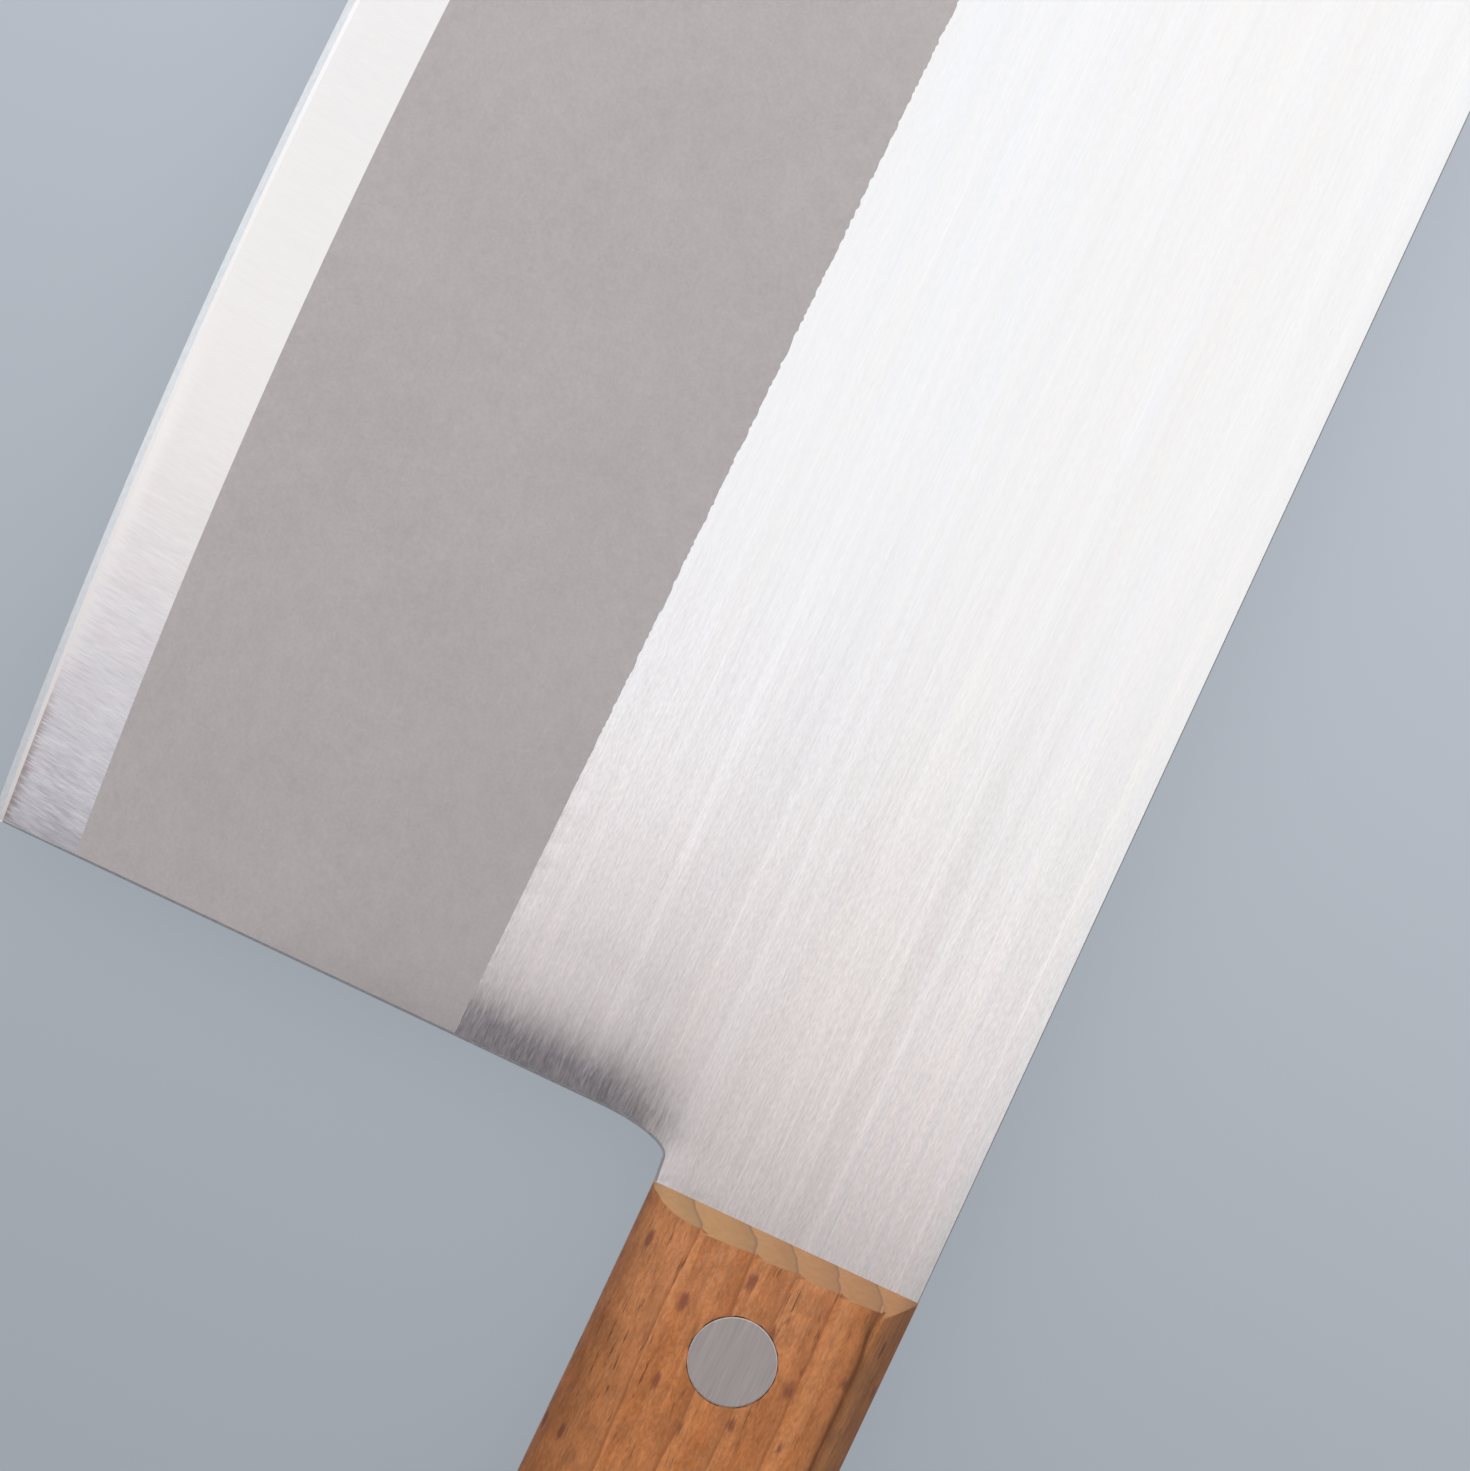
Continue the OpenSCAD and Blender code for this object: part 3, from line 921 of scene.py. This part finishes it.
scaleShape = {
    "thickness": 8.0, "spineRound": 2.9, "heelRound": 6.2, "buttRound": 5.0, "buttFlat": 3.0,
    "spineFlat": 0.7, "heelFlat": 0.7, "spinePower": 1.08, "power": 1.5,
    "slantSpine": 2.4, "slantHeel": 2.3, "slantWobble": 0.42, "slantReach": 4, "creaseSoft": 0.3,
    "creaseGap": 0.3, "stepSide": 0.03, "creaseRings": (-0.16, -0.08, 0.0, 0.08, 0.16), "frontGap": 0.8,
    "seatRadius": 4.83, "seatRim": 0.1, "seatDepth": 1.85, "ringSteps": 9,
}


# How far back the slanted front reaches at the top: it steps at each growth ring
def slantDepth(t):
    k = t / handleShape["grip"]
    r = wood["pithT"] - t
    wide = wood["wideRing"] * smooth(*wood["wideFrom"], r)
    step = 0.5 - ((r + wide - wood["ringStart"]) / wood["ringGap"]) % 1
    return scaleShape["slantSpine"] * (1 - k) + scaleShape["slantHeel"] * k + scaleShape["slantWobble"] * step


def softMin(a, b, soft):
    h = max(soft - abs(a - b), 0) / soft
    return min(a, b) - h * h * soft / 4


# Height of a rounded side at a distance from the outline: a chamfer with its corners rounded
def sideRound(a, width, flat, p):
    return flat + (scaleShape["thickness"] - flat) * max(1 - max(1 - a / width, 0) ** p, 0) ** (1 / p)


# Distances from the side, as shares of the rounding's width, where rings of points stand
def ringShares():
    count, p = scaleShape["ringSteps"], scaleShape["power"]
    return [1 - math.cos(math.radians(90 * k / count)) ** (2 / p) for k in range(1, count + 1)]


# Width, flat and power of the rounding at each point of the handle's outline
def sideShapes(path):
    c, halfway = scaleShape, 16
    back = handleShape["length"] - handleShape["buttCorner"]
    shapes = []
    for s, t in path:
        butt = smooth(back, handleShape["length"] - 1, -s)
        own = ("heelRound", "heelFlat", "power") if t > halfway else ("spineRound", "spineFlat", "spinePower")
        shapes.append([c[a] + (c[b] - c[a]) * butt for a, b in zip(own, ("buttRound", "buttFlat", "power"))])
    return shapes


# Where the slanted front meets the sides and the top
def creaseLine():
    c, grip, halfway = scaleShape, handleShape["grip"], 15
    ts = [0] + [c["spineRound"] * share for share in ringShares()]
    ts += list(np.arange(c["spineRound"] + c["creaseGap"], grip - c["heelRound"], c["creaseGap"]))
    steps = [wood["pithT"] - wood["ringStart"] - n * wood["ringGap"] for n in range(4, 10)]
    ts += [t + shift for t in steps for shift in (-c["stepSide"], c["stepSide"]) if 0 < t < grip]
    ts += [grip - c["heelRound"] * share for share in reversed(ringShares())] + [grip]
    crease = []
    for t in sorted(ts):
        own = ("spineRound", "spineFlat", "spinePower") if t < halfway else ("heelRound", "heelFlat", "power")
        z = sideRound(min(t, grip - t), *(c[key] for key in own))
        crease.append((-z * slantDepth(t) / c["thickness"], t))
    return crease


# Rivet seats, from the rim edges round them: chamfered rim, wall, floor, then the hole down to the tang
def addSeats(flat, seatRims, verts, faces):
    c = scaleShape
    floor = c["thickness"] - c["seatDepth"]
    profile = [(c["seatRadius"], c["thickness"] - c["seatRim"]), (c["seatRadius"], floor), (rivetHole, floor),
               (rivetHole, 0.0)]
    chains = {}
    for edge in seatRims:
        for i in edge:
            if i in chains:
                continue
            centre = min(rivetPlaces, key=lambda p: math.dist(p, flat[i]))
            ds, dt = flat[i][0] - centre[0], flat[i][1] - centre[1]
            far, first = math.hypot(ds, dt), len(verts)
            for radius, z in profile:
                verts.append([centre[0] + ds / far * radius, centre[1] + dt / far * radius, z])
            chains[i] = [i, *range(first, len(verts))]
        a, b = (chains[i] for i in edge)
        faces += [[b[k], a[k], a[k + 1], b[k + 1]] for k in range(len(profile))]


# The scale's sides down to the tang, then its flat inner face
def closeScale(flat, top, outer, verts, faces):
    low = {}
    for a, _ in outer:
        low[a] = len(verts)
        verts.append([*flat[a], 0.0])
    faces += [[b, a, low[a], low[b]] for a, b in outer if max(top[a], top[b]) > 1e-6]
    order, at, following = [], outer[0][0], dict(outer)
    while len(order) < len(outer):
        order.append(at)
        at = following[at]
    holes = [circle(p, rivetHole, 72) for p in rivetPlaces]
    under, triangles = fillPlan([flat[i] for i in order], [], [], holes)
    first = len(verts)
    verts += [[s, t, 0.0] for s, t in under]
    faces += [[first + i for i in reversed(tri)] for tri in triangles]


# One scale: side is 1 for the left one, on top, and -1 for the right one
def makeScale(name, node, side, material):
    c = scaleShape
    path, crease = handlePath(), creaseLine()
    shapes = sideShapes(path)
    lines = [inset(path, [width * share for width, _, _ in shapes]) for share in ringShares()]
    lines += [[(s + shift, t) for s, t in crease] for shift in c["creaseRings"]]
    frontLine = [(0, t) for t in np.arange(handleShape["grip"], 0, -c["frontGap"])][1:]
    seatRadius = c["seatRadius"] + c["seatRim"]
    seats = [circle(p, seatRadius, 72) for p in rivetPlaces]
    flat, triangles = fillPlan(path + frontLine, lines, [], seats)

    away, found = nearPath(flat, path, shapes)
    top = []
    for (s, t), a, shape in zip(flat, away, found):
        z = sideRound(a, *shape)
        if s > -c["slantReach"]:
            z = max(softMin(z, -s * c["thickness"] / slantDepth(t), c["creaseSoft"]), 0)
        top.append(z)
    verts = [[s, t, z] for (s, t), z in zip(flat, top)]
    faces = [list(tri) for tri in triangles]
    onSeat = [any(math.dist(p, centre) < seatRadius + 0.05 for centre in rivetPlaces) for p in flat]
    rim = rimEdges(triangles)
    addSeats(flat, [edge for edge in rim if onSeat[edge[0]]], verts, faces)
    closeScale(flat, top, [edge for edge in rim if not onSeat[edge[0]]], verts, faces)

    plate = bladeShape["thickness"] / 2
    verts = [(s, t, side * (z + plate)) for s, t, z in verts]
    if side < 0:
        faces = [list(reversed(face)) for face in faces]
    scale = newPiece(name, verts, faces, [material])
    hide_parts(node)
    return scale


makeScale("beech_scale_left", "left_scale", 1, beech(0))
makeScale("beech_scale_right", "right_scale", -1, beech(31))


# Rivets

rivetFinish = {
    "shader": {"Metallic": 1.0, "Roughness": 0.36}, "colour": (0.510, 0.466, 0.458),
    "streaks": [(4, 0.14, 6, 0.30), (9, 0.6, 19, 0.14)], "bumpLines": (4, 0.14, 6), "bump": (0.002, 0.6),
}


def rivetSteel():
    material, tree, shader, where = plainSteel("satin rivet steel", rivetFinish)
    addBump(tree, shader, streak(where, *rivetFinish["bumpLines"]), *rivetFinish["bump"])
    return material


rivetShape = {
    "head": 4.75, "headThickness": 1.8, "rim": 0.08, "barrel": 2.5, "stud": 1.5, "bore": 1.52, "hold": 10,
    "endGap": 0.4, "segments": 72,
}


# A solid turned about the rivet's axis from a profile of (radius, z) that starts and ends on the axis
def turned(name, node, centre, profile, material):
    count, verts, faces, rows = rivetShape["segments"], [], [], []
    turns = [2 * math.pi * i / count for i in range(count)]
    for radius, z in profile:
        rows.append(len(verts))
        for a in turns[:1] if radius == 0 else turns:
            verts.append((centre[0] + radius * math.cos(a), centre[1] + radius * math.sin(a), z))
    for (ra, _), (rb, _), a, b in zip(profile, profile[1:], rows, rows[1:]):
        for i in range(count):
            j = (i + 1) % count
            if ra == 0:
                faces.append([a, b + i, b + j])
            elif rb == 0:
                faces.append([a + i, b, a + j])
            else:
                faces.append([a + i, b + i, b + j, a + j])
    piece = newPiece(name, verts, faces, [material])
    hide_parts(node)
    return piece


# Profile of a head with a rounded rim, flush at z, in to the radius of what stands under it
def rivetHead(z, under):
    r = rivetShape
    flat, low = r["head"] - r["rim"], z - r["headThickness"]
    turns = [math.radians(a) for a in (0, 30, 60, 90)]
    rim = [(flat + r["rim"] * math.sin(a), z - r["rim"] * (1 - math.cos(a))) for a in turns]
    return [(0, z), (flat * 0.98, z), *rim, (r["head"], low), (under, low)]


def makeRivets():
    r, material = rivetShape, rivetSteel()
    top = bladeShape["thickness"] / 2 + scaleShape["thickness"]
    barrelEnd, studEnd = -top + r["headThickness"] + r["endGap"], -top + r["headThickness"] + r["hold"]
    boreEnd = studEnd + r["endGap"]
    bore = [(r["barrel"], barrelEnd), (r["bore"], barrelEnd), (r["bore"], boreEnd), (0, boreEnd)]
    socket = rivetHead(top, r["barrel"]) + bore
    stud = rivetHead(top, r["stud"]) + [(r["stud"], -studEnd), (0, -studEnd)]
    stud = [(radius, -z) for radius, z in reversed(stud)]
    for name, centre in zip(("front", "middle", "rear"), rivetPlaces):
        turned(f"rivet_socket_{name}_turned", f"rivet_socket_{name}", centre, socket, material)
        turned(f"rivet_stud_{name}_turned", f"rivet_stud_{name}", centre, stud, material)


makeRivets()


# Floor, light and camera

floorLook = {
    "side": 8.0, "near": (0.350, 0.388, 0.428), "far": (0.535, 0.580, 0.643), "paintedFalloffAlongS": (-87.0, 167.0),
    "plain": 0.76,  # share of its colour that the camera sees unshaded
}


def makeFloor():
    half = floorLook["side"] / 2
    mesh = bpy.data.meshes.new("floor")
    corners = [(-half, -half, 0), (half, -half, 0), (half, half, 0), (-half, half, 0)]
    mesh.from_pydata(corners, [], [(0, 1, 2, 3)])
    floor = newObject("floor", mesh)
    material = bpy.data.materials.new("pale floor")
    tree = emptyTree(material)
    # Painted light falloff: the floor is darker towards the handle and lighter past the tip
    share = between(measured(tree)["s"], *floorLook["paintedFalloffAlongS"])
    colour = mixColour(share, floorLook["near"], floorLook["far"])
    matt = addNode(tree, "BsdfDiffuse", {"Color": colour}).outputs[0]
    plain = addNode(tree, "Emission", {"Color": colour, "Strength": 1.0}).outputs[0]
    seen = addNode(tree, "LightPath").outputs["Is Camera Ray"]
    unshaded = times(seen, floorLook["plain"])
    mixed = addNode(tree, "MixShader", {0: unshaded, 1: matt, 2: plain})
    addNode(tree, "OutputMaterial", {0: mixed.outputs[0]})
    mesh.materials.append(material)


# Ramps over the direction that is looked in: x runs to the knife's front, y to its edge, z up. Across is
# x / z and along is y / z. The walls and the gap's sides go by y and z alone.
studio = {
    "panel": (-0.03, 0.04, 0.94, 1.04), "extra": (0.0, 0.5, 0.0, 0.23), "lowest": 0.05,
    "wall": (-0.7, 0.4, 0.35, 0.65), "wallFrom": (0.6, 0.3),
    "gap": 0.108, "gapAcross": (-0.012, -0.095), "gapAlong": (0.36, 0.20), "gapSides": (0.78, 0.60),
    "gapEnd": (-1.1, -0.5), "warmth": (1.0, 0.885, 0.862), "warmAcross": (0.03, -0.065),
    "gapColour": (1.0, 0.92, 0.98), "gapColourAcross": (-0.06, -0.10), "neutralAcross": (-0.15, -0.32),
    "background": (0.40, 0.45, 0.51),
}


# A bright panel overhead, a dark gap beside it towards the handle, walls dimmer on the spine's side
def makeLight():
    k = studio
    world = bpy.data.worlds.new("studio")
    bpy.context.scene.world = world
    tree = emptyTree(world)
    x, y, z = splitVector(addNode(tree, "TexCoord").outputs["Generated"])
    height = maths("MAXIMUM", z, k["lowest"])
    across, along = maths("DIVIDE", x, height), maths("DIVIDE", y, height)
    sides = between(maths("ABSOLUTE", y), *k["gapSides"])
    start, end, *panel = ramps(across, k, "gapAcross", "gapEnd", "panel", "extra")
    gap, panel = times(start, between(along, *k["gapAlong"]), sides, end), plus(*panel)
    levels = {0: between(z, *k["wallFrom"]), 2: panel, 3: between(y, *k["wall"])}
    level = fedNode("Mix", levels, data_type="FLOAT").outputs[0]
    level = times(level, between(gap, 0.0, 1.0, 1.0, k["gap"]))
    shares = ramps(across, k, "warmAcross", "gapColourAcross", "neutralAcross")
    colour = (1, 1, 1)
    for share, tint in zip(shares, (k["warmth"], k["gapColour"], (1, 1, 1))):
        colour = mixColour(share, colour, tint)
    light = addNode(tree, "Background", {"Color": colour, "Strength": level}).outputs[0]
    plain = addNode(tree, "Background", {"Color": k["background"], "Strength": 1.0}).outputs[0]
    seen = addNode(tree, "LightPath").outputs["Is Camera Ray"]
    mixed = addNode(tree, "MixShader", {0: seen, 1: light, 2: plain})
    addNode(tree, "OutputWorld", {0: mixed.outputs[0]})


cameraSet = {
    "height": 0.9, "middle": (-0.01125, -0.0137), "span": 0.1551, "up": (0.90734, 0.42040), "sensor": 36,
    "clip": (0.05, 50),
}


def makeCamera():
    data = bpy.data.cameras.new("camera")
    camera = newObject("camera", data)
    up = Vector((*cameraSet["up"], 0)).normalized()
    back = Vector((0, 0, 1))
    turn = Matrix((up.cross(back), up, back)).transposed().to_4x4()
    top = plateZ + bladeShape["thickness"] / 2 * mm
    camera.matrix_world = Matrix.Translation((*cameraSet["middle"], top + cameraSet["height"])) @ turn
    data.sensor_width = cameraSet["sensor"]
    data.lens = cameraSet["sensor"] * cameraSet["height"] / cameraSet["span"]
    data.clip_start, data.clip_end = cameraSet["clip"]
    bpy.context.scene.camera = camera


makeFloor()
makeLight()
makeCamera()
bpy.context.scene.view_settings.view_transform = "Standard"
print("floor, light and camera ready")
